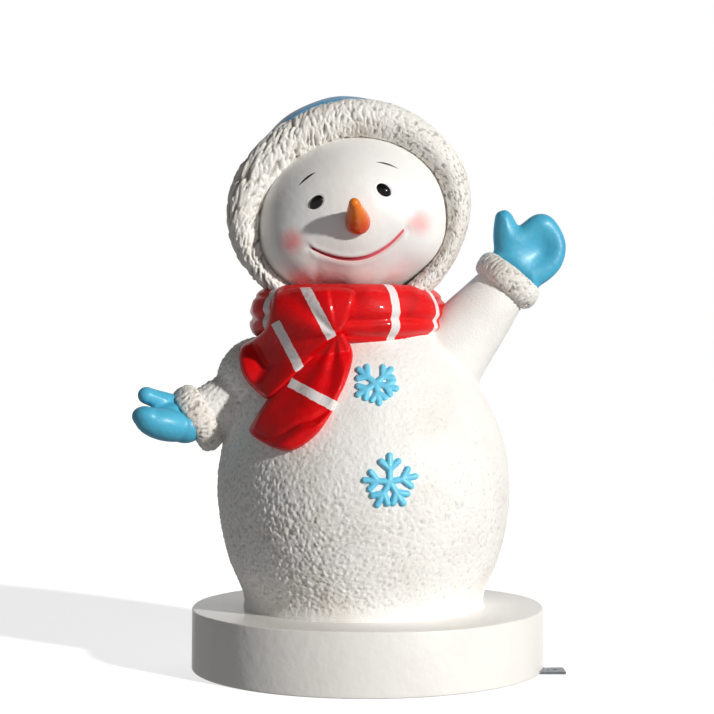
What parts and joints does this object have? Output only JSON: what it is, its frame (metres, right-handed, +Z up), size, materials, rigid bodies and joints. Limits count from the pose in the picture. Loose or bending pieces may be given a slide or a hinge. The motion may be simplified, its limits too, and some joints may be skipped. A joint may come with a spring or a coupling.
{
  "type": "yard snowman figure",
  "caption": "Standing snowman garden figure with a fur-trimmed hat, scarf, raised and outstretched mittens, on a round plinth with flat-bar anchor lugs.",
  "frame": {"origin": "centre of the round plinth on the ground, on the underside of the rear base bar", "axes": "+Z up through the post; -Y is the way the face looks; +X is the figure's left, where the raised arm and the side lug are"},
  "size_m": [0.8659, 0.735, 1.1367],
  "materials": {
    "white_gloss": "smooth glossy white paint on fibreglass, slightly yellowed in the corners",
    "snow_texture": "stippled snow texture, satin off-white paint",
    "carved_fur": "carved fur tufts, off-white with a grey-brown wash in the hollows",
    "light_blue": "glossy light blue paint",
    "scarf_red": "glossy red paint with white stripes",
    "carrot_orange": "glossy orange paint",
    "eye_black": "high-gloss black paint",
    "galvanised_steel": "hot-dip galvanised, dull",
    "zinc_steel": "bright zinc plate",
    "raw_laminate": "unpainted fibreglass laminate"
  },
  "bodies": {
    "root": {"plinth_drum": "white_gloss", "base_cross_bar": "galvanised_steel", "base_rear_bar": "galvanised_steel", "post_foot_plate": "galvanised_steel", "centre_post": "galvanised_steel", "deck_flange": "galvanised_steel", "head_plate": "galvanised_steel", "deck_bolt_1": "zinc_steel", "deck_bolt_2": "zinc_steel", "deck_bolt_3": "zinc_steel", "deck_bolt_4": "zinc_steel", "deck_nut_1": "zinc_steel", "deck_nut_2": "zinc_steel", "deck_nut_3": "zinc_steel", "deck_nut_4": "zinc_steel", "torso_rear_shell": "snow_texture", "torso_front_shell": "snow_texture", "base_fillet": "snow_texture", "neck_collar": "raw_laminate", "head_shell": "white_gloss", "eye_right": "eye_black", "eye_left": "eye_black", "carrot_nose": "carrot_orange", "nose_dowel": "galvanised_steel", "hat_crown": "light_blue", "hat_fur_trim": "carved_fur", "scarf_wrap": "scarf_red", "scarf_upper_tail": "scarf_red", "scarf_lower_tail": "scarf_red", "waving_arm_sleeve": "snow_texture", "waving_fur_cuff": "carved_fur", "waving_arm_rod": "galvanised_steel", "waving_mitten": "light_blue", "open_arm_sleeve": "snow_texture", "open_fur_cuff": "carved_fur", "open_arm_rod": "galvanised_steel", "open_mitten": "light_blue", "snowflake_upper": "light_blue", "snowflake_lower": "light_blue"}
  },
  "joints": []
}
